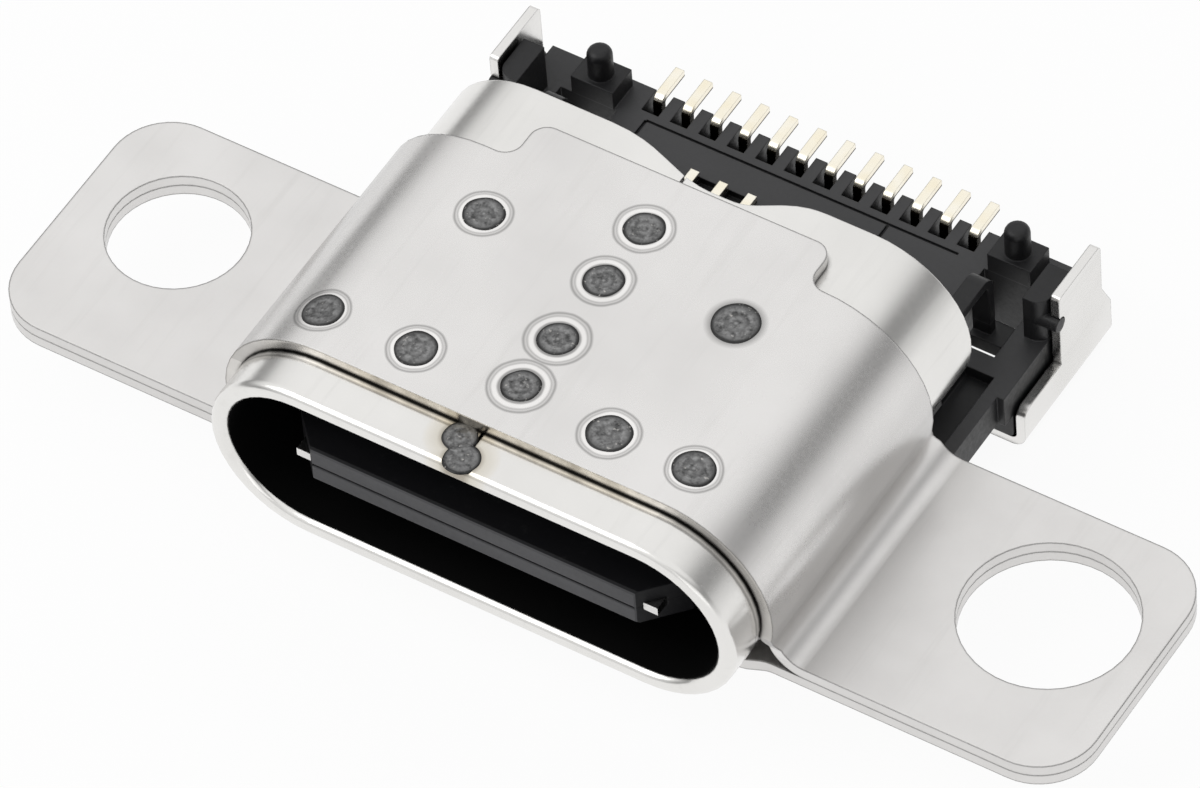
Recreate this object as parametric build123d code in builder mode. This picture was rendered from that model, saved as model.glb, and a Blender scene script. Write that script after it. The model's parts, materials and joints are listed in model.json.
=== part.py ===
"""A mid-mount USB-C receptacle with two screw ears, in millimetres.

The plug enters along +Y at the origin, which is the centre of the mouth on the
shell's front face.  +X runs along the mouth's long side and +Z points at the
side that the circuit board lies on.
"""
import os
from math import asin, copysign, cos, degrees, sin

from build123d import *

# Contact rows
contact_count = 12
contact_pitch = 0.50
contact_width = 0.15
contact_sheet = 0.12
contact_bend = 0.06
contact_tip = 0.75
foot_shift = -0.25
long_first = 3
long_count = 3

# Tongue, its steel plate and the grounding springs
tongue_front = 0.12
tongue_margin = 0.52
tongue_thickness = 0.70
nose_inset = 0.595
nose_run = 0.65
nose_edge = 0.05
parting_width = 0.06
parting_depth = 0.03
plate_sheet = 0.15
plate_inset = 0.265
plate_front = 0.22
latch_depth = 0.16
latch_front = 1.30
latch_rear = 1.95
root_length = 1.10
root_overhang = 0.355
root_gap = 0.36
spring_sheet = 0.12
spring_inset = 0.90
spring_length = 0.80
spring_reach = 0.80
spring_rear_gap = 0.15
spring_rise = 0.16
spring_fingers = 4
spring_slot = 0.30

# Mouth and shell
mouth_side_gap = 0.825
mouth_height = 2.56
shell_sheet = 0.30
shell_length = 6.72
rim_radius = 0.13
seam_x = -0.10
seam_width = 0.05
seam_depth = 0.10
dip_left = -1.60
dip_right = 2.10
dip_floor_left = 0.40
dip_floor_right = 0.70
dip_depth = 0.46

# Stamped brackets
bracket_sheet = 0.20
bend_radius = 0.40
ear_rise = 0.42
ear_reach = 4.60
ear_front = 1.10
ear_rear_gap = 1.12
ear_corner = 0.95
ear_hole_inset = 1.76
ear_hole_rear_gap = 3.03
left_hole_radius = 1.10
right_hole_radius = 1.35
saddle_front = 0.78
saddle_rear_gap = 0.65
shoulder_length = 0.78
left_shoulder_inset = 2.25
right_shoulder_inset = 2.06
shoulder_radius = 0.28
joggle_inset = 0.62
joggle_run = 0.45
step_top = 0.80
step_end = 0.21
weld_radius = 0.30
weld_depth = 0.03
weld_places = [
    (0.00, 1.65),
    (0.00, 2.66),
    (0.00, 3.92),
    (0.00, 5.05),
    (-2.20, 4.16),
    (2.10, 4.16),
    (-1.70, 1.51),
    (1.58, 1.51),
    (-3.30, 1.50),
    (2.98, 1.55),
]
seam_weld_radius = 0.20
seam_weld_places = [(-0.36, 0.55), (-0.12, 0.22)]

# Moulded tail, measured back from the shell's rear edge and down from the ears' top
plug_gap = 0.02
plug_depth = 1.02
plug_length = 0.50
column_length = 0.38
column_inset = 0.32
column_top = 0.42
column_slope = 0.10
front_drop_gap = 0.28
front_foot_reach = 1.91
short_foot_reach = 1.56
rear_drop_gap = 0.10
rear_run_drop = 0.51
rear_knee_reach = 2.90
rear_foot_reach = 3.52
foot_drop = 0.22
tail_reach = 3.08
tail_thickness = 1.10
belly_reach = 0.61
side_rim = 0.54
arm_gap = 0.08
arm_width = 0.72
arm_inset = 0.12
arm_thickness = 0.60
arm_pocket_depth = 0.20
arm_pocket_width = 0.50
arm_pocket_inset = 0.27
arm_pocket_length = 1.45
comb_length = 0.45
comb_slot = 0.30
rib_depth = 0.12
cover_reach = 2.48
cover_left = -2.72
cover_right = 1.52
groove = 0.05
window_gap = 0.375
window_width = 1.00
window_reach = 1.02
block_gap = 0.435
block_width = 0.74
block_reach = 2.43
block_length = 0.55
block_rise = 0.02
peg_radius = 0.20
peg_height = 0.54
post_width = 0.36
post_reach = 1.58
post_length = 0.77
post_height = 0.88
post_corner = 0.22
snap_radius = 0.12
snap_drop = 0.57
hook_inset = 0.17
hook_width = 0.30
hook_sheet = 0.15
hook_drop = 0.97
hook_reach = 1.60
hook_bend = 0.12
hook_foot_rise = 0.62
hook_foot_height = 0.25
hook_foot_length = 0.42

# Rear shield
shield_sheet = 0.15
shield_gap = 0.05
shield_bend = 0.10
rim_corner = 0.20
wall_height = 0.80
wall_reach = 3.14
wall_slope = 0.50
wing_height = 2.27
wing_reach = 1.70
wing_length = 1.20
wing_corner = 0.08
snap_gap = 0.02

# Widths worked out from the contact row outwards
row_half = (contact_pitch * (contact_count - 1) + contact_width) / 2
tongue_width = 2 * (row_half + tongue_margin)
nose_width = tongue_width - 2 * nose_inset
plate_width = tongue_width - 2 * plate_inset
root_width = tongue_width + 2 * root_overhang
spring_width = root_width - 2 * spring_inset
mouth_width = tongue_width + 2 * mouth_side_gap
shell_half_width = mouth_width / 2 + shell_sheet
shell_half_height = mouth_height / 2 + shell_sheet
end_x = shell_half_width - shell_half_height
wall_x = shell_half_width + bracket_sheet
ear_tip = wall_x + ear_reach
ear_hole_x = ear_tip - ear_hole_inset
left_shoulder = left_shoulder_inset - wall_x
right_shoulder = wall_x - right_shoulder_inset
column_width = mouth_width - 2 * column_inset
window_inner = row_half + window_gap
window_outer = window_inner + window_width
tail_half = window_outer + side_rim
block_x = row_half + block_gap + block_width / 2
hook_x = column_width / 2 - hook_inset
arm_outer = tail_half - arm_inset
arm_inner = arm_outer - arm_width
shield_half = tail_half + shield_gap + shield_sheet / 2
relief_x = (right_shoulder + wall_x) / 2

# Lengths worked out from the shell's rear edge
ear_rear = shell_length - ear_rear_gap
ear_hole_y = shell_length - ear_hole_rear_gap
saddle_rear = shell_length - saddle_rear_gap
shoulder_rear = saddle_rear - shoulder_length
plug_front = shell_length - plug_depth
plug_rear = plug_front + plug_length
root_front = plug_front - root_length
spring_rear = plug_front - spring_rear_gap
spring_seat = spring_rear - spring_length
spring_tip = spring_seat - spring_reach
column_rear = shell_length + column_length
front_drop = shell_length + front_drop_gap
front_foot_end = shell_length + front_foot_reach
short_foot_end = shell_length + short_foot_reach
rear_drop = shell_length + rear_drop_gap
rear_knee = shell_length + rear_knee_reach
rear_foot_end = shell_length + rear_foot_reach
tail_rear = shell_length + tail_reach
arm_front = ear_rear + arm_gap
arm_pocket_front = arm_front + arm_pocket_inset
comb_front = tail_rear - comb_length
cover_rear = shell_length + cover_reach
window_front = shell_length + window_reach
block_front = shell_length + block_reach
post_front = shell_length + post_reach
hook_end = shell_length + hook_reach
belly_front = shell_length + belly_reach
wall_rear = shell_length + wall_reach
wing_front = shell_length + wing_reach
wing_rear = wing_front + wing_length

# Heights worked out from the mouth's middle downwards
saddle_top = shell_half_height + bracket_sheet
contact_level = (tongue_thickness - contact_sheet) / 2
root_height = mouth_height - 2 * root_gap
ear_top = ear_rise - shell_half_height
ear_middle = ear_top - bracket_sheet
foot_top = ear_top - foot_drop
foot_level = foot_top - contact_sheet / 2
tail_top = foot_top - contact_sheet
tail_bottom = tail_top - tail_thickness
arm_bottom = tail_top - arm_thickness
rear_run_level = foot_level - rear_run_drop
block_top = ear_top + block_rise
peg_top = block_top + peg_height
hook_level = column_top - hook_drop
hook_foot_bottom = tail_bottom + hook_foot_rise
shield_level = tail_bottom - shield_sheet / 2
shield_bottom = tail_bottom - shield_sheet
wall_top = shield_bottom + wall_height
wing_top = shield_bottom + wing_height
deep = 20

os.makedirs("parts", exist_ok=True)


def save(name, builder):
    """Label a finished piece and write it under its own name."""
    builder.part.label = name
    export_step(builder.part, f"parts/{name}.step")


def dish(x, y, round_height, radius, depth):
    """Take a shallow dished spot out of a stadium of the given half height."""
    beyond = copysign(max(abs(x) - end_x, 0), x)
    lean = asin(beyond / round_height)
    ball = (radius**2 + depth**2) / (2 * depth)
    out = round_height - depth + ball
    with Locations((x - beyond + out * sin(lean), y, out * cos(lean))):
        Sphere(ball, mode=Mode.SUBTRACT)


def ear_holes():
    """The two screw holes, which differ in size."""
    with Locations((-ear_hole_x, ear_hole_y)):
        Circle(left_hole_radius, mode=Mode.SUBTRACT)
    with Locations((ear_hole_x, ear_hole_y)):
        Circle(right_hole_radius, mode=Mode.SUBTRACT)


def round_corners(sketch, radius, *places):
    """Round the sketch's corners that stand at these places along x."""
    for x in places:
        corners = sketch.vertices().filter_by_position(Axis.X, x - 0.01, x + 0.01)
        fillet(corners, radius)


# Inner shell: a drawn tube with a butt seam on top and a dip in its rear edge
with BuildPart() as inner_shell:
    with BuildSketch(Plane.XZ):
        SlotOverall(2 * shell_half_width, 2 * shell_half_height)
        SlotOverall(mouth_width, mouth_height, mode=Mode.SUBTRACT)
    extrude(amount=-shell_length)
    fillet(inner_shell.faces().sort_by(Axis.Y)[0].edges(), rim_radius)
    with BuildSketch(Plane.XY.offset(shell_half_height)):
        with Locations((seam_x, shell_length / 2)):
            Rectangle(seam_width, 2 * shell_length)
    extrude(amount=-seam_depth, mode=Mode.SUBTRACT)
    with BuildSketch(Plane.XY.offset(shell_half_height)):
        with BuildLine():
            lip = Spline(
                (dip_left, shell_length),
                (dip_floor_left, shell_length - dip_depth),
                (dip_floor_right, shell_length - dip_depth),
                (dip_right, shell_length),
                tangents=((1, 0), (1, 0), (1, 0), (1, 0)),
            )
            Polyline(
                lip @ 1,
                (dip_right, shell_length + deep),
                (dip_left, shell_length + deep),
                lip @ 0,
            )
        make_face()
    extrude(amount=-1.5 * shell_sheet, mode=Mode.SUBTRACT)
    for x, y in seam_weld_places:
        dish(x, y, shell_half_height, seam_weld_radius, weld_depth)
save("inner_shell", inner_shell)

# Upper bracket: one sheet wrapped over the shell and flared out to the ears
wrap = shell_half_height + bracket_sheet / 2
flare = bend_radius + bracket_sheet / 2
upper_level = ear_top - bracket_sheet / 2
leave = asin((-upper_level - flare) / (wrap + flare))
flare_x = end_x + (wrap + flare) * cos(leave)
flare_z = -(wrap + flare) * sin(leave)
with BuildPart() as upper_bracket:
    with BuildSketch(Plane.XZ):
        with BuildLine():
            Line((0, wrap), (end_x, wrap))
            CenterArc((end_x, 0), wrap, 90, -90 - degrees(leave))
            CenterArc((flare_x, flare_z), flare, 180 - degrees(leave), 90 + degrees(leave))
            Line((flare_x, upper_level), (ear_tip + deep, upper_level))
            mirror(about=Plane.YZ)
        trace(line_width=bracket_sheet)
    extrude(amount=-deep)
    with BuildSketch(Plane.XY) as upper_outline:
        with BuildLine():
            Polyline(
                (-ear_tip, ear_front),
                (-wall_x, ear_front),
                (-wall_x, saddle_front),
                (wall_x, saddle_front),
                (wall_x, ear_front),
                (ear_tip, ear_front),
                (ear_tip, ear_rear),
                (relief_x, ear_rear),
                (relief_x, shoulder_rear),
                (right_shoulder, shoulder_rear),
                (right_shoulder, saddle_rear),
                (left_shoulder, saddle_rear),
                (left_shoulder, shoulder_rear),
                (-relief_x, shoulder_rear),
                (-relief_x, ear_rear),
                (-ear_tip, ear_rear),
                close=True,
            )
        make_face()
        round_corners(upper_outline, ear_corner, -ear_tip, ear_tip)
        round_corners(upper_outline, shoulder_radius, left_shoulder, right_shoulder)
        ear_holes()
    extrude(amount=deep, both=True, mode=Mode.INTERSECT)
    # The wall's front and rear edges step back on their way down to the ears
    with BuildSketch(Plane.YZ):
        with BuildLine():
            Polyline(
                (saddle_front, ear_top + step_top),
                (ear_front, ear_top + step_end),
                (ear_front, -deep),
                (-deep, -deep),
                (-deep, ear_top + step_top),
                close=True,
            )
        make_face()
    extrude(amount=deep, both=True, mode=Mode.SUBTRACT)
    for side in (-1, 1):
        with BuildSketch(Plane.YZ.offset(side * relief_x)):
            with BuildLine():
                Polyline(
                    (shoulder_rear, deep),
                    (shoulder_rear, ear_top + step_top),
                    (ear_rear, ear_top + step_end),
                    (deep, ear_top + step_end),
                    (deep, deep),
                    close=True,
                )
            make_face()
        extrude(amount=side * deep, mode=Mode.SUBTRACT)
    for x, y in weld_places:
        dish(x, y, saddle_top, weld_radius, weld_depth)
save("upper_bracket", upper_bracket)

# Lower bracket: a flat strap under the shell with a joggle up to its own ears
lower_level = ear_middle - bracket_sheet / 2
joggle_x = shell_half_width - joggle_inset
with BuildPart() as lower_bracket:
    with BuildSketch(Plane.XZ):
        with BuildLine():
            FilletPolyline(
                (-ear_tip - deep, lower_level),
                (-joggle_x - joggle_run, lower_level),
                (-joggle_x, -wrap),
                (joggle_x, -wrap),
                (joggle_x + joggle_run, lower_level),
                (ear_tip + deep, lower_level),
                radius=flare,
            )
        trace(line_width=bracket_sheet)
    extrude(amount=-deep)
    with BuildSketch(Plane.XY) as lower_outline:
        with BuildLine():
            Polyline(
                (0, ear_front),
                (ear_tip, ear_front),
                (ear_tip, ear_rear),
                (wall_x, ear_rear),
                (wall_x, shoulder_rear),
                (0, shoulder_rear),
            )
            mirror(about=Plane.YZ)
        make_face()
        round_corners(lower_outline, ear_corner, -ear_tip, ear_tip)
        ear_holes()
    extrude(amount=deep, both=True, mode=Mode.INTERSECT)
save("lower_bracket", lower_bracket)

# Contacts: one flat strip each, bent down behind the shell and out to a foot.
# The feet of the upper row stand half a pitch aside from those of the lower row.
# Three of them reach out past the dip in the shell, and the others end under it.
half_width = contact_width / 2
contact_xs = [contact_pitch * (k - (contact_count - 1) / 2) for k in range(contact_count)]
upper_contacts = []
lower_contacts = []
long_feet = range(long_first, long_first + long_count)
for k, x in enumerate(contact_xs):
    foot_end = front_foot_end if k in long_feet else short_foot_end
    with BuildPart() as upper_contact:
        with BuildSketch(Plane.YZ.offset(x)):
            with BuildLine():
                Polyline(
                    (contact_tip, contact_level),
                    (front_drop, contact_level),
                    (front_drop, contact_level - contact_sheet),
                )
            trace(line_width=contact_sheet)
        extrude(amount=half_width, both=True)
        with BuildSketch(Plane.YZ.offset(x + foot_shift)):
            with BuildLine():
                Polyline(
                    (front_drop, foot_level + contact_sheet),
                    (front_drop, foot_level),
                    (foot_end, foot_level),
                )
            trace(line_width=contact_sheet)
        extrude(amount=half_width, both=True)
        with BuildSketch(Plane.XZ.offset(-front_drop)):
            with BuildLine():
                Polyline(
                    (x - half_width, contact_level - contact_sheet),
                    (x + half_width, contact_level - contact_sheet),
                    (x + foot_shift + half_width, foot_level + contact_sheet),
                    (x + foot_shift - half_width, foot_level + contact_sheet),
                    close=True,
                )
            make_face()
        extrude(amount=contact_sheet / 2, both=True)
    upper_contacts.append(upper_contact)
    save(f"upper_contact_{len(upper_contacts):02d}", upper_contact)

    with BuildPart() as lower_contact:
        with BuildSketch(Plane.YZ.offset(x)):
            with BuildLine():
                Polyline(
                    (contact_tip, -contact_level),
                    (rear_drop, -contact_level),
                    (rear_drop, rear_run_level),
                    (rear_knee, rear_run_level),
                    (rear_knee, foot_level - 3 * contact_sheet),
                )
                FilletPolyline(
                    (rear_knee, foot_level - 3 * contact_sheet),
                    (rear_knee, foot_level),
                    (rear_foot_end, foot_level),
                    radius=contact_bend + contact_sheet / 2,
                )
            trace(line_width=contact_sheet)
        extrude(amount=half_width, both=True)
    lower_contacts.append(lower_contact)
    save(f"lower_contact_{len(lower_contacts):02d}", lower_contact)

# Steel plate in the middle of the tongue, with a latch notch in each side
with BuildPart() as mid_plate:
    with BuildSketch(Plane.XY):
        with BuildLine():
            Polyline(
                (0, plate_front),
                (plate_width / 2, plate_front),
                (plate_width / 2, latch_front),
                (plate_width / 2 - latch_depth, latch_front),
                (plate_width / 2 - latch_depth, latch_rear),
                (plate_width / 2, latch_rear),
                (plate_width / 2, plug_rear),
                (0, plug_rear),
            )
            mirror(about=Plane.YZ)
        make_face()
    extrude(amount=plate_sheet / 2, both=True)
save("mid_plate", mid_plate)

# Tongue: two moulded halves around the plate, each holding a row of contacts
with BuildPart() as tongue:
    with BuildSketch(Plane.XY):
        with BuildLine():
            Polyline(
                (0, tongue_front),
                (nose_width / 2, tongue_front),
                (tongue_width / 2, tongue_front + nose_run),
                (tongue_width / 2, root_front),
                (root_width / 2, root_front),
                (root_width / 2, plug_front),
                (0, plug_front),
            )
            mirror(about=Plane.YZ)
        make_face()
    extrude(amount=tongue_thickness / 2, both=True)
    nose = tongue.faces().sort_by(Axis.Y)[0]
    chamfer(nose.edges().filter_by(Axis.X), nose_edge)
    with BuildSketch(Plane.XZ.offset(-tongue_front)):
        Rectangle(nose_width, parting_width)
    extrude(amount=-parting_depth, mode=Mode.SUBTRACT)
    with BuildSketch(Plane.XY):
        with Locations((0, (root_front + plug_front) / 2)):
            Rectangle(root_width, root_length)
    extrude(amount=root_height / 2, both=True)
    add(mid_plate.part, mode=Mode.SUBTRACT)
    for contact in upper_contacts + lower_contacts:
        add(contact.part, mode=Mode.SUBTRACT)

with BuildPart() as upper_insulator:
    add(tongue.part)
    split(bisect_by=Plane.XY, keep=Keep.TOP)
save("upper_insulator", upper_insulator)

with BuildPart() as lower_insulator:
    add(tongue.part)
    split(bisect_by=Plane.XY, keep=Keep.BOTTOM)
save("lower_insulator", lower_insulator)

# Grounding springs: a plate on each side of the tongue's root, with fingers that
# rise towards the shell in front of it
spring_level = (root_height + spring_sheet) / 2
with BuildPart() as upper_ground_spring:
    with BuildSketch(Plane.YZ):
        with BuildLine():
            FilletPolyline(
                (spring_tip, spring_level),
                ((spring_tip + spring_seat) / 2, spring_level + spring_rise),
                (spring_seat, spring_level),
                (spring_rear, spring_level),
                radius=2 * spring_sheet,
            )
        trace(line_width=spring_sheet)
    extrude(amount=spring_width / 2, both=True)
    finger_pitch = (spring_width + spring_slot) / spring_fingers
    with BuildSketch(Plane.XY):
        with Locations((0, (spring_tip + spring_seat) / 2)):
            with GridLocations(finger_pitch, 1, spring_fingers - 1, 1):
                Rectangle(spring_slot, spring_reach + spring_slot)
    extrude(amount=deep, mode=Mode.SUBTRACT)
save("upper_ground_spring", upper_ground_spring)

with BuildPart() as lower_ground_spring:
    add(mirror(upper_ground_spring.part, about=Plane.XY, mode=Mode.PRIVATE))
save("lower_ground_spring", lower_ground_spring)

# Moulded tail: a plug that closes the shell, a column behind it that drops below
# the shell, and a slab with arms, comb, windows, posts and pegged blocks
plug_width = mouth_width - 2 * plug_gap
plug_height = mouth_height - 2 * plug_gap
with BuildPart() as tail_housing:
    # Slab with an arm along each side of the shell
    with BuildSketch(Plane.YZ):
        with BuildLine():
            Polyline(
                (arm_front, tail_top),
                (arm_front, arm_bottom),
                (belly_front, arm_bottom),
                (belly_front, tail_bottom),
                (tail_rear, tail_bottom),
                (tail_rear, tail_top),
                close=True,
            )
        make_face()
    extrude(amount=tail_half, both=True)
    floor_edges = tail_housing.faces().sort_by(Axis.Z)[0].edges()
    fillet(floor_edges.filter_by(Axis.Y), shield_bend)
    with BuildSketch(Plane.XY):
        with Locations((0, (arm_front + shell_length) / 2)):
            Rectangle(2 * arm_inner, shell_length - arm_front)
        with Locations((0, (arm_front + column_rear) / 2)):
            with GridLocations(2 * tail_half, 1, 2, 1):
                Rectangle(2 * arm_inset, column_rear - arm_front)
    extrude(amount=-deep, mode=Mode.SUBTRACT)

    # Plug, neck and column
    with BuildSketch(Plane.XZ.offset(-plug_front)):
        SlotOverall(plug_width, plug_height)
    extrude(amount=-plug_length)
    with BuildSketch(Plane.XZ.offset(-plug_rear)):
        SlotOverall(plug_width, plug_height)
        with Locations((0, column_top - deep / 2)):
            Rectangle(column_width, deep, mode=Mode.INTERSECT)
    extrude(amount=-(shell_length - plug_rear))
    with BuildSketch(Plane.YZ):
        with BuildLine():
            Polyline(
                (shell_length, arm_bottom),
                (column_rear, arm_bottom),
                (column_rear, column_top - column_slope),
                (column_rear - column_slope, column_top),
                (shell_length, column_top),
                close=True,
            )
        make_face()
    extrude(amount=column_width / 2, both=True)

    for side in (-1, 1):
        # Lowered step along the inside of the arm
        with BuildSketch(Plane.XY.offset(tail_top)):
            with Locations((side * arm_inner, arm_pocket_front)):
                Rectangle(
                    arm_pocket_width,
                    arm_pocket_length,
                    align=(Align.MIN if side > 0 else Align.MAX, Align.MIN),
                )
        extrude(amount=-arm_pocket_depth, mode=Mode.SUBTRACT)
        # Through window for the hook
        with BuildSketch(Plane.XY.offset(tail_top)):
            with Locations(
                (side * (window_inner + window_outer) / 2, (window_front + block_front) / 2)
            ):
                Rectangle(window_width, block_front - window_front)
        extrude(amount=-deep, mode=Mode.SUBTRACT)
        # Block that sets the depth in the board, with its locating peg
        block_y = block_front + block_length / 2
        with BuildSketch(Plane.XY.offset(tail_top)):
            with Locations((side * block_x, block_y)):
                Rectangle(block_width, block_length)
        extrude(amount=block_top - tail_top)
        with BuildSketch(Plane.XY.offset(block_top)):
            with Locations((side * block_x, block_y)):
                Circle(peg_radius)
        extrude(amount=peg_height)
        fillet(tail_housing.edges(Select.LAST).group_by(Axis.Z)[-1], 0.6 * peg_radius)
        # Post beside the shield's wing, rounded on its front outer corner
        with BuildSketch(Plane.XY.offset(tail_top)) as post:
            with Locations((side * (tail_half - post_width / 2), post_front + post_length / 2)):
                Rectangle(post_width, post_length)
            front_corners = post.vertices().group_by(Axis.Y)[0].sort_by(Axis.X)
            fillet(front_corners[-1 if side > 0 else 0], post_corner)
        extrude(amount=post_height)
        # Snap on the post, which fills a round notch in the wing's front edge
        with BuildSketch(Plane.YZ.offset(side * (tail_half - post_width / 2))):
            with Locations((wing_front, wing_top - snap_drop)):
                Circle(snap_radius)
        extrude(amount=side * (post_width / 2 + shield_gap + shield_sheet))

    # Comb of slots that the rear feet rise through
    with BuildSketch(Plane.XY.offset(tail_top)):
        with Locations((0, tail_rear - comb_length / 2)):
            with GridLocations(contact_pitch, 1, contact_count, 1):
                Rectangle(comb_slot, comb_length)
    extrude(amount=rear_run_level - contact_sheet / 2 - tail_top, mode=Mode.SUBTRACT)
    # Ribs that carry the long front feet, with slots between them
    long_x = contact_xs[long_first] + contact_pitch * (long_count - 1) / 2 + foot_shift
    with BuildSketch(Plane.XY.offset(tail_top)):
        with Locations((long_x, (column_rear + front_foot_end) / 2)):
            with GridLocations(contact_pitch, 1, long_count - 1, 1):
                Rectangle(contact_pitch - contact_width, front_foot_end - column_rear)
    extrude(amount=-rib_depth, mode=Mode.SUBTRACT)
    # Joint lines of the cover behind the front feet
    with BuildSketch(Plane.XY.offset(tail_top)):
        with Locations((0, cover_rear)):
            Rectangle(-2 * cover_left, groove)
        for x in (cover_left, cover_right):
            with Locations((x, (front_foot_end + cover_rear) / 2)):
                Rectangle(groove, cover_rear - front_foot_end)
    extrude(amount=-groove, mode=Mode.SUBTRACT)

    add(mid_plate.part, mode=Mode.SUBTRACT)
    for contact in upper_contacts + lower_contacts:
        add(contact.part, mode=Mode.SUBTRACT)
save("tail_housing", tail_housing)

# Hooks: a strap from the column that turns down into each window
for name, side in (("left_hook", -1), ("right_hook", 1)):
    with BuildPart() as hook:
        with BuildSketch(Plane.YZ.offset(side * hook_x)):
            with BuildLine():
                FilletPolyline(
                    (column_rear, hook_level),
                    (hook_end, hook_level),
                    (hook_end, hook_foot_bottom),
                    radius=hook_bend + hook_sheet / 2,
                )
            trace(line_width=hook_sheet)
        extrude(amount=hook_width / 2, both=True)
        with BuildSketch(Plane.XY.offset(hook_foot_bottom)):
            with Locations((side * (hook_x - hook_width / 2), hook_end)):
                Rectangle(
                    hook_width + hook_foot_length - hook_sheet,
                    hook_foot_length,
                    align=(Align.MIN if side > 0 else Align.MAX, Align.CENTER),
                )
        extrude(amount=hook_foot_height)
    save(name, hook)

# Rear shield: a tray under the slab, with side walls that end in solder wings
with BuildPart() as rear_shield:
    with BuildSketch(Plane.XZ.offset(-belly_front)):
        with BuildLine():
            FilletPolyline(
                (-shield_half, wing_top),
                (-shield_half, shield_level),
                (shield_half, shield_level),
                (shield_half, wing_top),
                radius=shield_bend + shield_sheet / 2,
            )
        trace(line_width=shield_sheet)
    extrude(amount=-(wall_rear - belly_front))
    with BuildSketch(Plane.YZ) as shield_outline:
        with BuildLine():
            Polyline(
                (belly_front, shield_bottom),
                (belly_front, wall_top),
                (wing_front, wall_top),
                (wing_front, wing_top),
                (wing_rear, wing_top),
                (wing_rear, wall_top + wall_slope),
                (wall_rear, wall_top),
                (wall_rear, shield_bottom),
                close=True,
            )
        make_face()
        front_corners = shield_outline.vertices().group_by(Axis.X)[0]
        fillet(front_corners.sort_by(Axis.Y)[-1], rim_corner)
        fillet(shield_outline.vertices().group_by(Axis.Y)[-1], wing_corner)
        with Locations((wing_front, wing_top - snap_drop)):
            Circle(snap_radius + snap_gap, mode=Mode.SUBTRACT)
    extrude(amount=deep, both=True, mode=Mode.INTERSECT)
    with BuildSketch(Plane.XY):
        with Locations((0, (window_front + block_front) / 2)):
            with GridLocations(window_inner + window_outer, 1, 2, 1):
                Rectangle(window_width, block_front - window_front)
    extrude(amount=-deep, mode=Mode.SUBTRACT)
save("rear_shield", rear_shield)
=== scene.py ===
"""Looks for the socket: camera, plain studio, procedural finishes, weld nuggets."""
import json
import math

import bpy
from mathutils import Matrix, Vector


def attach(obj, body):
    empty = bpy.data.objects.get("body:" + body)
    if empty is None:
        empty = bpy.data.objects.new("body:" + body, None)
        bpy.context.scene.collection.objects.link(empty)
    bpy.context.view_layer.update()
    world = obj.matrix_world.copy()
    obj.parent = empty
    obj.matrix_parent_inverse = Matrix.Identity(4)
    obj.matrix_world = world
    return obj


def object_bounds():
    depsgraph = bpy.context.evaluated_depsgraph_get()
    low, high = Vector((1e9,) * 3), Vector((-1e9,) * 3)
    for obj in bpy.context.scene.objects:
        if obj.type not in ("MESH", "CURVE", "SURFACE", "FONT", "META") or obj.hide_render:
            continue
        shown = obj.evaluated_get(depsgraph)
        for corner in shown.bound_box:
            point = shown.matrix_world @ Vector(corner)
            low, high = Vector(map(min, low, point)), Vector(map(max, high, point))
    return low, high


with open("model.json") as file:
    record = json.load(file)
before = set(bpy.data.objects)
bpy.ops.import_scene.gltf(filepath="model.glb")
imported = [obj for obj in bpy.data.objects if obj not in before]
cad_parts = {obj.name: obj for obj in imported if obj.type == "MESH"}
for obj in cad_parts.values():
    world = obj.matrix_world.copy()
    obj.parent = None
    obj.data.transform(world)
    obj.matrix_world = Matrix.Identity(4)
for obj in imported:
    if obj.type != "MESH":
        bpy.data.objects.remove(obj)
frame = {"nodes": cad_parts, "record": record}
cad_low, cad_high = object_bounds()

MM = 0.001
BODY = "root"

# Places on the part, in millimetres
END_X = 2.89
BRACKET_TOP = 1.78
SHELL_TOP = 1.58
SHELL_INSIDE = 1.31
INTERIOR_SHADE_FROM = 0.10
SADDLE_FRONT = 0.78
EAR_TOP = -1.16
TAIL_TOP = -1.50
RIGHT_BAND_TOP = 1.0
LEFT_BAND_LOW = 0.7
LEFT_BAND_TOP = 1.7

# Reach of the painted shade in hollows and corners, and the largest angle that is shaded smooth
CREASE_SHADE_REACH = 0.10
SMOOTH_ANGLE = math.radians(28)

# Spot welds: place in the plan, radius of the burnt core and of the heat ring
WELDS = [
    (0.00, 1.65, 0.31, 0.53),
    (0.00, 2.66, 0.32, 0.53),
    (0.00, 3.92, 0.32, 0.50),
    (0.00, 5.05, 0.325, 0.49),
    (-2.20, 4.16, 0.33, 0.46),
    (-1.70, 1.51, 0.34, 0.47),
    (1.58, 1.51, 0.36, 0.50),
    (-3.30, 1.50, 0.34, 0.45),
    (2.98, 1.55, 0.34, 0.45),
]
# Welds without a heat ring: place in the plan and radius of the core
DULL_WELD = (2.10, 4.16, 0.39)
SEAM_WELDS = [(-0.36, 0.55, 0.28), (-0.12, 0.22, 0.29)]
BRACKET_WELDS = [(x, y, core) for x, y, core, ring in WELDS] + [DULL_WELD]

# Camera, fitted to the photograph's view of the mouth, the feet and the ears
CAMERA_PLACE = (66.0186, -89.0711, 135.3236)
CAMERA_RIGHT = (0.849624, 0.524494, -0.055188)
CAMERA_UP = (-0.373125, 0.671758, 0.639936)
CAMERA_LENS = 363.76

lens = bpy.data.cameras.new("camera")
lens.lens = CAMERA_LENS
lens.sensor_width = 36
lens.clip_start = 0.01
lens.clip_end = 10
camera = bpy.data.objects.new("camera", lens)
bpy.context.scene.collection.objects.link(camera)
right, up = Vector(CAMERA_RIGHT), Vector(CAMERA_UP)
turn = Matrix((right, up, right.cross(up))).transposed().to_4x4()
camera.matrix_world = Matrix.Translation(Vector(CAMERA_PLACE) * MM) @ turn
bpy.context.scene.camera = camera
bpy.context.scene.view_settings.view_transform = "Standard"


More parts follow.
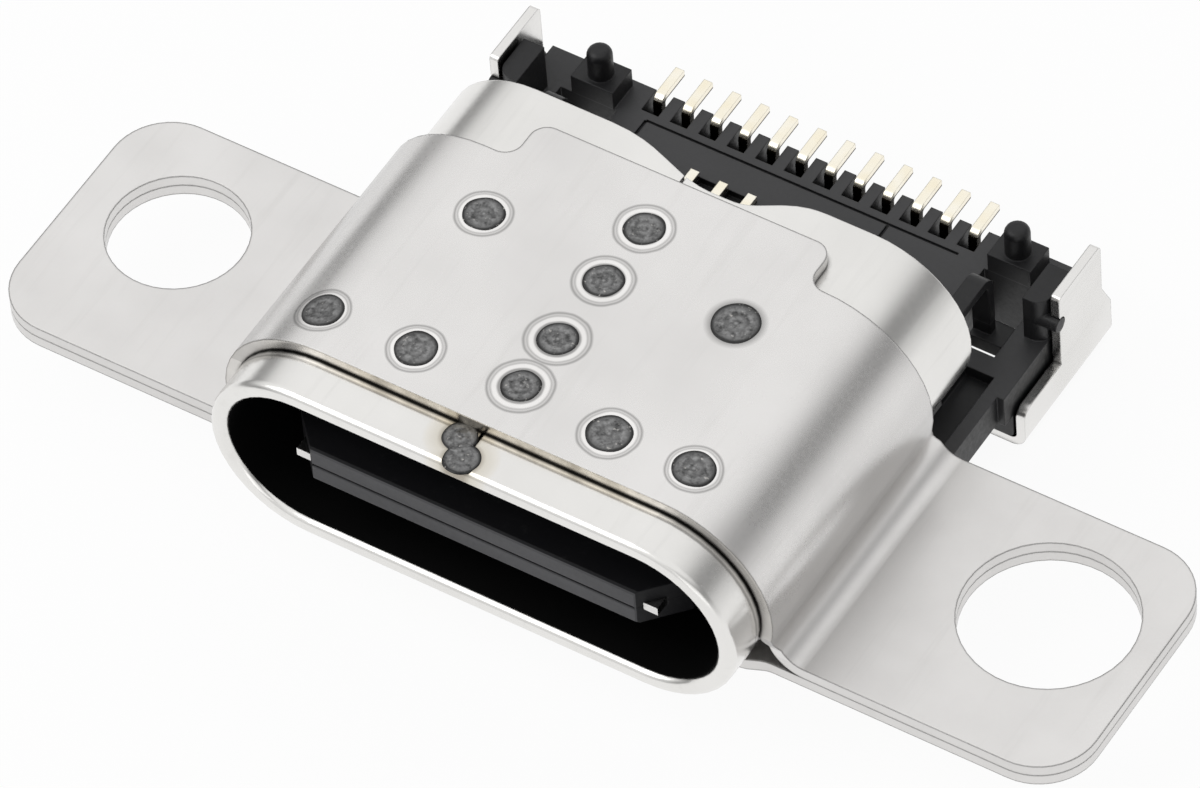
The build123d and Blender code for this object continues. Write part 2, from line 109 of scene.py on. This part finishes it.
def node(tree, kind, inputs=None, **settings):
    """Add a shader node, with values or links for its inputs, and return it."""
    made = tree.nodes.new("ShaderNode" + kind)
    for name, value in settings.items():
        setattr(made, name, value)
    for key, value in (inputs or {}).items():
        if isinstance(value, bpy.types.Node):
            value = value.outputs[0]
        if isinstance(value, bpy.types.NodeSocket):
            tree.links.new(value, made.inputs[key])
        else:
            made.inputs[key].default_value = value
    return made


def math_node(tree, operation, first, second=0.0, third=0.0, clamp=False):
    """One sum, product or comparison of up to three values."""
    inputs = {0: first, 1: second, 2: third}
    return node(tree, "Math", inputs, operation=operation, use_clamp=clamp)


def ramp(tree, factor, stops):
    """Colour ramp with (position, colour) stops; a single number is a grey."""
    made = node(tree, "ValToRGB", {0: factor})
    points = made.color_ramp.elements
    while len(points) < len(stops):
        points.new(1.0)
    for point, (place, colour) in zip(points, stops):
        point.position = place
        point.color = (*colour, 1) if isinstance(colour, tuple) else (colour,) * 3 + (1,)
    return made


def mix(tree, factor, first, second, blend="MIX"):
    """Blend two colours by a share."""
    made = node(tree, "Mix", data_type="RGBA", blend_type=blend)
    for key, value in ((0, factor), (6, first), (7, second)):
        if isinstance(value, bpy.types.Node):
            value = value.outputs[0]
        if isinstance(value, bpy.types.NodeSocket):
            tree.links.new(value, made.inputs[key])
        elif key:
            made.inputs[key].default_value = (*value, 1)
        else:
            made.inputs[key].default_value = value
    return made.outputs[2]


def multiply(tree, first, second):
    """Darken or tint one colour by another."""
    return mix(tree, 1.0, first, second, "MULTIPLY")


def spread(tree, factor, low, high, from_low=0.3, from_high=0.7):
    """Map one range of values to another, held at its ends."""
    inputs = {0: factor, 1: from_low, 2: from_high, 3: low, 4: high}
    return node(tree, "MapRange", inputs).outputs[0]


def within(tree, value, low, high):
    """One where the value lies between two limits, else zero."""
    above = math_node(tree, "GREATER_THAN", value, low)
    below = math_node(tree, "LESS_THAN", value, high)
    return math_node(tree, "MULTIPLY", above, below)


def place_mm(tree):
    """The point's place in the part's own frame, in millimetres."""
    place = node(tree, "TexCoord").outputs["Object"]
    return node(tree, "VectorMath", {0: place, "Scale": 1 / MM}, operation="SCALE")


def axes(tree, vector):
    """The x, y and z of a vector."""
    return tuple(node(tree, "SeparateXYZ", {0: vector}).outputs)


def noise(tree, place, scale, detail=2.0, roughness=0.5, stretch=(1, 1, 1)):
    """Noise with the given number of features to a millimetre."""
    stretched = node(tree, "Mapping", {"Vector": place, "Scale": stretch})
    inputs = {"Vector": stretched, "Scale": scale, "Detail": detail, "Roughness": roughness}
    return node(tree, "TexNoise", inputs).outputs[0]


def nearest(tree, place, circles):
    """Distance in the plan to the nearest circle's centre, as a share of its radius."""
    flat = node(tree, "VectorMath", {0: place, 1: (1, 1, 0)}, operation="MULTIPLY")
    found = None
    for x, y, radius in circles:
        away = node(tree, "VectorMath", {0: flat, 1: (x, y, 0)}, operation="DISTANCE")
        share = math_node(tree, "DIVIDE", away.outputs["Value"], radius)
        found = math_node(tree, "MINIMUM", found, share) if found else share
    return found


def rounded(tree, radius):
    """Normals that are rounded at the piece's edges."""
    return node(tree, "Bevel", {"Radius": radius * MM}, samples=6)


def relief(tree, height, strength, distance, edge):
    """Bump on top of rounded normals."""
    inputs = {"Strength": strength, "Distance": distance * MM, "Height": height, "Normal": edge}
    return node(tree, "Bump", inputs)


def new_material(name):
    """A material with its node tree and its main shader."""
    made = bpy.data.materials.new(name)
    made.use_nodes = True
    tree = made.node_tree
    return made, tree, tree.nodes["Principled BSDF"]


def link(tree, value, shader, socket):
    """Feed a node or a socket into the shader's named input."""
    if isinstance(value, bpy.types.Node):
        value = value.outputs[0]
    tree.links.new(value, shader.inputs[socket])


def steel(name, tint, dark_tint, roughness, edge_radius, edge_light):
    """Bright rolled sheet: cloudy patches, fine grain, faint scratches, painted shade in hollows and
    corners, painted edge light along the rounded edges (shade below an edge factor of one, highlight
    above).
    """
    made, tree, shader = new_material(name)
    place = place_mm(tree)
    clouds = noise(tree, place, 0.45, 3, 0.55)
    grain = noise(tree, place, 16, 2, 0.6)
    scratches = noise(tree, place, 5, 3, 0.65, stretch=(1, 0.06, 1))
    colour = mix(tree, spread(tree, clouds, 0, 0.75), tint, dark_tint)
    colour = mix(tree, spread(tree, scratches, 0, 0.10, 0.55, 0.75), colour, (0.45, 0.44, 0.42))
    # Painted shade: ambient occlusion darkens the colour in hollows, corners and where parts meet
    crease_shade = node(tree, "AmbientOcclusion", {"Distance": CREASE_SHADE_REACH * MM}, samples=6)
    colour = multiply(tree, colour, spread(tree, crease_shade.outputs["AO"], 0.25, 1.0, 0.45, 0.85))
    # Painted edge light: the rounded edges are darkened below an edge factor of one and lightened above it
    edge = rounded(tree, edge_radius)
    flat = node(tree, "NewGeometry").outputs["Normal"]
    edge_light_mask = node(tree, "VectorMath", {0: edge, 1: flat}, operation="DOT_PRODUCT").outputs["Value"]
    colour = multiply(tree, colour, spread(tree, edge_light_mask, edge_light, 1.0, 0.80, 0.99))
    patchy = spread(tree, clouds, roughness - 0.04, roughness + 0.05)
    shine = math_node(tree, "ADD", patchy, spread(tree, grain, -0.02, 0.03))
    height = math_node(tree, "ADD", grain, scratches)
    shader.inputs["Metallic"].default_value = 1
    link(tree, colour, shader, "Base Color")
    link(tree, shine, shader, "Roughness")
    link(tree, relief(tree, height, 0.012, 0.01, edge), shader, "Normal")
    return made, tree, shader, place, colour, shine


def heat_rings(tree, place):
    """Pale and grey rings round the spot welds, and a soft shade round the dull one."""
    share = nearest(tree, place, [(x, y, ring) for x, y, core, ring in WELDS])
    wobble = spread(tree, noise(tree, place, 2.2, 2, 0.5), -0.05, 0.05, 0, 1)
    share = math_node(tree, "ADD", share, wobble, clamp=True)
    stops = [(0.0, 0.4), (0.62, 0.5), (0.68, 1.16), (0.77, 1.16), (0.83, 0.68), (0.87, 0.88)]
    rings = ramp(tree, share, stops + [(0.93, 0.50), (1.0, 1.0)])
    halo = spread(tree, nearest(tree, place, [DULL_WELD]), 0.5, 1.0, 0.95, 1.25)
    return multiply(tree, rings, halo)


def bend_bands(tree, across, level):
    """Painted bands that stand for the photo's dark reflections in the bends."""
    share = spread(tree, level, 0.0, 1.0, EAR_TOP, RIGHT_BAND_TOP)
    stops = [(0.0, 1.0), (0.14, 0.97), (0.31, 0.82), (0.44, 0.74), (0.63, 0.82), (0.81, 0.86), (1.0, 1.0)]
    right_bend = ramp(tree, share, stops)
    share = spread(tree, level, 0.0, 1.0, LEFT_BAND_LOW, LEFT_BAND_TOP)
    left_bend = ramp(tree, share, [(0.0, 0.76), (0.5, 0.78), (0.8, 0.95), (1.0, 1.0)])
    left_bend = mix(tree, spread(tree, share, 0, 1, 0.0, 0.02), (1, 1, 1), left_bend)
    to_right = math_node(tree, "GREATER_THAN", across, 0.0)
    return mix(tree, to_right, left_bend, right_bend)


def bracket_finish():
    """Wrapped bracket: heat rings, a darker brown-grey front end face, painted edge shade, darker sheared
    faces on the ears, painted bands.
    """
    tint, dark_tint = (0.80, 0.787, 0.775), (0.72, 0.707, 0.695)
    made, tree, shader, place, colour, shine = steel("bracket_finish", tint, dark_tint, 0.27, 0.05, 0.2)
    across, along, level = axes(tree, place)
    colour = multiply(tree, colour, heat_rings(tree, place))
    # Front end face darkened and tinted brown-grey, less so towards the sides
    front_edge = math_node(tree, "LESS_THAN", along, SADDLE_FRONT + 0.004)
    streaks = spread(tree, noise(tree, place, 3, 3, 0.6), 0, 1)
    edge_tint = mix(tree, streaks, (0.58, 0.54, 0.47), (0.34, 0.31, 0.26))
    fading = spread(tree, math_node(tree, "ABSOLUTE", across), 1.0, 0.3, 2.2, 3.4)
    colour = mix(tree, math_node(tree, "MULTIPLY", front_edge, fading), colour, edge_tint)
    facing = axes(tree, node(tree, "NewGeometry").outputs["True Normal"])
    upright = math_node(tree, "LESS_THAN", math_node(tree, "ABSOLUTE", facing[2]), 0.3)
    on_ear = math_node(tree, "LESS_THAN", level, EAR_TOP + 0.05)
    sheared = math_node(tree, "MULTIPLY", upright, on_ear)
    colour = multiply(tree, colour, spread(tree, sheared, 1.0, 0.92, 0, 1))
    colour = multiply(tree, colour, bend_bands(tree, across, level))
    link(tree, colour, shader, "Base Color")
    low_wall = spread(tree, level, 0.14, 0.0, -0.9, 0.4)
    link(tree, math_node(tree, "ADD", shine, low_wall), shader, "Roughness")
    return made


def shell_finish():
    """Drawn shell: heat tint at the seam's end, painted reflection lines and a painted shadow line before
    the bracket, and painted shade that makes the interior near-black.
    """
    tint, dark_tint = (0.83, 0.82, 0.80), (0.76, 0.75, 0.73)
    # Edge factor above one: a painted highlight along the shell's rounded edges
    made, tree, shader, place, colour, shine = steel("shell_finish", tint, dark_tint, 0.20, 0.025, 1.1)
    across, along, level = axes(tree, place)
    share = nearest(tree, place, [(x, y, 2 * core) for x, y, core in SEAM_WELDS])
    browns = [(0.0, (0.42, 0.36, 0.29)), (0.45, (0.50, 0.46, 0.40)), (0.60, (0.86, 0.83, 0.76))]
    burnt = ramp(tree, share, browns + [(0.85, (0.96, 0.94, 0.90)), (1.0, 1.0)])
    above = math_node(tree, "GREATER_THAN", level, 0.0)
    colour = mix(tree, above, colour, multiply(tree, colour, burnt))
    # Painted reflection and shade: grey lines and then a dark line on the shell just before the bracket's
    # front edge
    share = spread(tree, along, 0.0, 1.0, SADDLE_FRONT - 0.28, SADDLE_FRONT + 0.02)
    stops = [(0.0, 1.0), (0.44, 1.0), (0.52, 0.50), (0.60, 0.55), (0.67, 0.85), (0.76, 0.55)]
    gap_shade = ramp(tree, share, stops + [(0.85, 0.04), (0.97, 0.02), (1.0, 1.0)])
    beside = math_node(tree, "GREATER_THAN", level, EAR_TOP)
    colour = mix(tree, beside, colour, multiply(tree, colour, gap_shade))
    # Painted shade: the shell's interior, from just behind the mouth's front, is painted near-black and
    # made rougher
    beyond = math_node(tree, "SUBTRACT", math_node(tree, "ABSOLUTE", across), END_X)
    beyond = math_node(tree, "MAXIMUM", beyond, 0.0)
    out = node(tree, "CombineXYZ", {0: beyond, 1: level})
    out = node(tree, "VectorMath", {0: out}, operation="LENGTH").outputs["Value"]
    shaded_interior = math_node(tree, "LESS_THAN", out, SHELL_INSIDE)
    shaded_interior = math_node(tree, "MULTIPLY", shaded_interior, math_node(tree, "GREATER_THAN", along, INTERIOR_SHADE_FROM))
    link(tree, mix(tree, shaded_interior, colour, (0.012, 0.012, 0.012)), shader, "Base Color")
    link(tree, math_node(tree, "MULTIPLY_ADD", shaded_interior, 0.4, shine), shader, "Roughness")
    return made


def gold_finish():
    """Pale gold plate, with painted shade that darkens it below the top of the moulding."""
    made, tree, shader = new_material("gold_finish")
    place = place_mm(tree)
    clouds = spread(tree, noise(tree, place, 3, 2, 0.5), 0, 1)
    grain = noise(tree, place, 9, 2, 0.5)
    colour = mix(tree, clouds, (0.97, 0.93, 0.82), (0.94, 0.87, 0.70))
    # Painted shade: the gold below the top of the moulding is painted near-black
    low_shade = math_node(tree, "LESS_THAN", axes(tree, place)[2], TAIL_TOP + 0.03)
    link(tree, mix(tree, low_shade, colour, (0.06, 0.05, 0.035)), shader, "Base Color")
    link(tree, spread(tree, grain, 0.24, 0.30), shader, "Roughness")
    link(tree, relief(tree, grain, 0.03, 0.004, rounded(tree, 0.02)), shader, "Normal")
    shader.inputs["Metallic"].default_value = 1
    return made


def moulding(name, axis, low, high, tone, shine):
    """Black plastic with fine grain and faint flow marks, and a painted highlight that makes it lighter
    between two places on an axis.
    """
    made, tree, shader = new_material(name)
    place = place_mm(tree)
    flow = noise(tree, place, 0.8, 3, 0.5, stretch=(0.4, 1, 1))
    grain = noise(tree, place, 14, 3, 0.6)
    specks = noise(tree, place, 7, 3, 0.7)
    # Painted light: the band between the two places is coloured lighter, as if lit
    lit_band = within(tree, axes(tree, place)[axis], low, high)
    colour = mix(tree, lit_band, (0.006, 0.006, 0.007), tone)
    colour = mix(tree, spread(tree, flow, 0, 0.35), colour, (0.016, 0.016, 0.017))
    colour = mix(tree, spread(tree, specks, 0, 0.20, 0.6, 0.8), colour, (0.05, 0.05, 0.05))
    link(tree, colour, shader, "Base Color")
    link(tree, spread(tree, grain, 0.38, 0.52), shader, "Roughness")
    link(tree, relief(tree, grain, 0.10, 0.012, rounded(tree, 0.03)), shader, "Normal")
    shader.inputs["Specular IOR Level"].default_value = shine
    return made


def weld_finish():
    """Weld core: mottled burnt grey in rings, with a dark rim, a pale dot and bright flecks."""
    made, tree, shader = new_material("weld_finish")
    place = place_mm(tree)
    share = nearest(tree, place, BRACKET_WELDS + SEAM_WELDS)
    speck = noise(tree, place, 11, 3, 0.65)
    share = math_node(tree, "ADD", share, spread(tree, speck, -0.16, 0.16, 0, 1), clamp=True)
    stops = [(0.0, 0.34), (0.10, 0.15), (0.28, 0.20), (0.44, 0.13), (0.60, 0.21), (0.80, 0.15)]
    burnt = ramp(tree, share, stops + [(0.89, 0.05), (1.0, 0.03)])
    burnt = multiply(tree, burnt, spread(tree, speck, 0.4, 1.7))
    flecks = spread(tree, noise(tree, place, 17, 2, 0.5), 0, 0.7, 0.66, 0.76)
    link(tree, mix(tree, flecks, burnt, (0.62, 0.60, 0.57)), shader, "Base Color")
    link(tree, spread(tree, speck, 0.32, 0.50), shader, "Roughness")
    link(tree, relief(tree, speck, 0.35, 0.015, rounded(tree, 0.01)), shader, "Normal")
    shader.inputs["Metallic"].default_value = 1
    return made


WELD = weld_finish()
# Painted light: a lighter front end on the tongue, and a lighter top face on the moulding at the tail's top
# level
TONGUE = moulding("tongue_finish", 1, 0.0, 0.14, (0.078, 0.078, 0.082), 0.12)
BLACK = moulding("moulding_finish", 2, TAIL_TOP - 0.01, TAIL_TOP + 0.01, (0.042, 0.042, 0.044), 0.42)
FINISHES = {
    "nickel_shell": shell_finish(),
    "bracket_steel": bracket_finish(),
    "shield_steel": steel("shield_finish", (0.82, 0.81, 0.795), (0.74, 0.73, 0.71), 0.24, 0.03, 0.9)[0],
    "plate_steel": steel("plate_finish", (0.78, 0.77, 0.76), (0.66, 0.65, 0.64), 0.22, 0.015, 1.0)[0],
    "gold_contact": gold_finish(),
    "black_moulding": BLACK,
}
for row in frame["record"]["subparts"]:
    piece = frame["nodes"][row["node"]]
    piece.data.materials.clear()
    finish = TONGUE if row["node"].endswith("insulator") else FINISHES[row["material_slot"]]
    piece.data.materials.append(finish)
    piece.data.shade_smooth()
    piece.data.set_sharp_from_angle(angle=SMOOTH_ANGLE)


# Weld cores: low lathed buttons with ridges that follow the sheet they lie on
NUGGET_TURNS = 40
NUGGET_PROFILE = [
    (0.00, 0.006),
    (0.11, 0.000),
    (0.20, 0.010),
    (0.31, 0.008),
    (0.41, 0.002),
    (0.54, 0.007),
    (0.66, 0.009),
    (0.77, 0.004),
    (0.86, 0.007),
    (0.94, 0.010),
    (1.00, -0.012),
]


def on_sheet(x, y, height, top):
    """Point at a height above the stadium-shaped sheet, x measured along the sheet."""
    bend = max(abs(x) - END_X, 0) / top
    reach = top + height
    out = min(abs(x), END_X) + reach * math.sin(bend)
    return Vector((math.copysign(out, x), y, reach * math.cos(bend))) * MM


def nugget(name, x, y, radius, top):
    """One weld core round the plan place (x, y)."""
    beyond = max(abs(x) - END_X, 0)
    middle = math.copysign(abs(x) - beyond + top * math.asin(beyond / top), x)
    points, faces = [], []
    for k, (share, height) in enumerate(NUGGET_PROFILE):
        count = 1 if k == 0 else NUGGET_TURNS
        for turn in range(count):
            angle = math.tau * turn / NUGGET_TURNS
            ripple = 1 + 0.02 * math.sin(2 * angle + 5 * x) + 0.012 * math.sin(5 * angle + 3 * y)
            reach = radius * share * ripple
            sway = 0.002 * math.sin(5 * angle + 3 * share + x + y)
            place = (middle + reach * math.cos(angle), y + reach * math.sin(angle))
            points.append(on_sheet(*place, height + sway, top))
    for turn in range(NUGGET_TURNS):
        after = (turn + 1) % NUGGET_TURNS
        faces.append((0, 1 + turn, 1 + after))
        for k in range(len(NUGGET_PROFILE) - 2):
            low, high = 1 + k * NUGGET_TURNS, 1 + (k + 1) * NUGGET_TURNS
            faces.append((low + turn, high + turn, high + after, low + after))
    mesh = bpy.data.meshes.new(name)
    mesh.from_pydata(points, [], faces)
    mesh.shade_smooth()
    mesh.materials.append(WELD)
    piece = bpy.data.objects.new(name, mesh)
    bpy.context.scene.collection.objects.link(piece)
    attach(piece, BODY)


for k, (x, y, core) in enumerate(BRACKET_WELDS):
    nugget(f"weld_{k + 1:02d}", x, y, core, BRACKET_TOP)
for k, (x, y, core) in enumerate(SEAM_WELDS):
    nugget(f"seam_weld_{k + 1}", x, y, core, SHELL_TOP)


def white_rays(tree):
    """One for rays that see a surface directly, in a mirror or through glass."""
    rays = node(tree, "LightPath")
    seen = math_node(tree, "MAXIMUM", rays.outputs["Is Camera Ray"], rays.outputs["Is Glossy Ray"])
    return math_node(tree, "MAXIMUM", seen, rays.outputs["Is Transmission Ray"])


def floor_finish():
    """Pale floor that looks almost white when it is seen, and keeps a soft shadow."""
    made, tree, shader = new_material("floor_finish")
    shader.inputs["Base Color"].default_value = (0.82, 0.82, 0.82, 1)
    shader.inputs["Roughness"].default_value = 0.9
    share = math_node(tree, "MULTIPLY", white_rays(tree), FLOOR_WHITE)
    white = node(tree, "Emission", {"Color": (1, 1, 1, 1), "Strength": 1.0})
    both = node(tree, "MixShader", {0: share, 1: shader, 2: white})
    tree.links.new(both.outputs[0], tree.nodes["Material Output"].inputs["Surface"])
    return made


# Plain pale floor at the part's lowest level, in metres
FLOOR_HALF = 2.0
FLOOR_WHITE = 0.93
floor_mesh = bpy.data.meshes.new("floor")
corners = [(-1, -1), (1, -1), (1, 1), (-1, 1)]
floor_points = [(FLOOR_HALF * x, FLOOR_HALF * y, cad_low.z) for x, y in corners]
floor_mesh.from_pydata(floor_points, [], [(0, 1, 2, 3)])
floor_mesh.materials.append(floor_finish())
floor = bpy.data.objects.new("floor", floor_mesh)
bpy.context.scene.collection.objects.link(floor)

# Studio sky: bright above, dim bands low on the left and halfway up on the right, white to the camera alone
OPEN_SKY = [(0.0, 0.9), (0.5, 0.72), (0.72, 0.85), (0.85, 1.0), (1.0, 0.95)]
RIGHT_SKY = [(0.0, 0.9), (0.50, 0.85), (0.60, 0.75), (0.68, 0.32), (0.78, 0.28), (0.86, 0.82), (0.93, 1.0)]
LEFT_SKY = [(0.0, 0.9), (0.45, 0.7), (0.52, 0.28), (0.60, 0.32), (0.72, 0.85), (0.85, 1.0)]
world = bpy.data.worlds.new("studio")
bpy.context.scene.world = world
world.use_nodes = True
tree = world.node_tree
direction = axes(tree, node(tree, "TexCoord").outputs["Generated"])
to_right, to_top = direction[0], direction[2]
height = spread(tree, to_top, 0.0, 1.0, -1.0, 1.0)
sideways = spread(tree, to_right, 0.0, 1.0, 0.05, 0.5)
sky = mix(tree, sideways, ramp(tree, height, OPEN_SKY), ramp(tree, height, RIGHT_SKY))
sideways = spread(tree, to_right, 1.0, 0.0, -0.8, -0.4)
sky = mix(tree, sideways, sky, ramp(tree, height, LEFT_SKY))
seen = mix(tree, node(tree, "LightPath").outputs["Is Camera Ray"], sky, (1, 1, 1))
tree.links.new(seen, tree.nodes["Background"].inputs["Color"])


def lamp(name, place, size, watts):
    """Square or oblong light that faces the part."""
    light = bpy.data.lights.new(name, "AREA")
    light.shape = "RECTANGLE"
    light.size, light.size_y = size
    light.energy = watts
    made = bpy.data.objects.new(name, light)
    made.location = place
    made.rotation_mode = "QUATERNION"
    made.rotation_quaternion = (-Vector(place)).to_track_quat("-Z", "Y")
    bpy.context.scene.collection.objects.link(made)


lamp("key", (-0.20, -0.18, 0.30), (0.25, 0.25), 0.35)
lamp("fill", (0.22, -0.30, 0.12), (0.30, 0.20), 0.12)
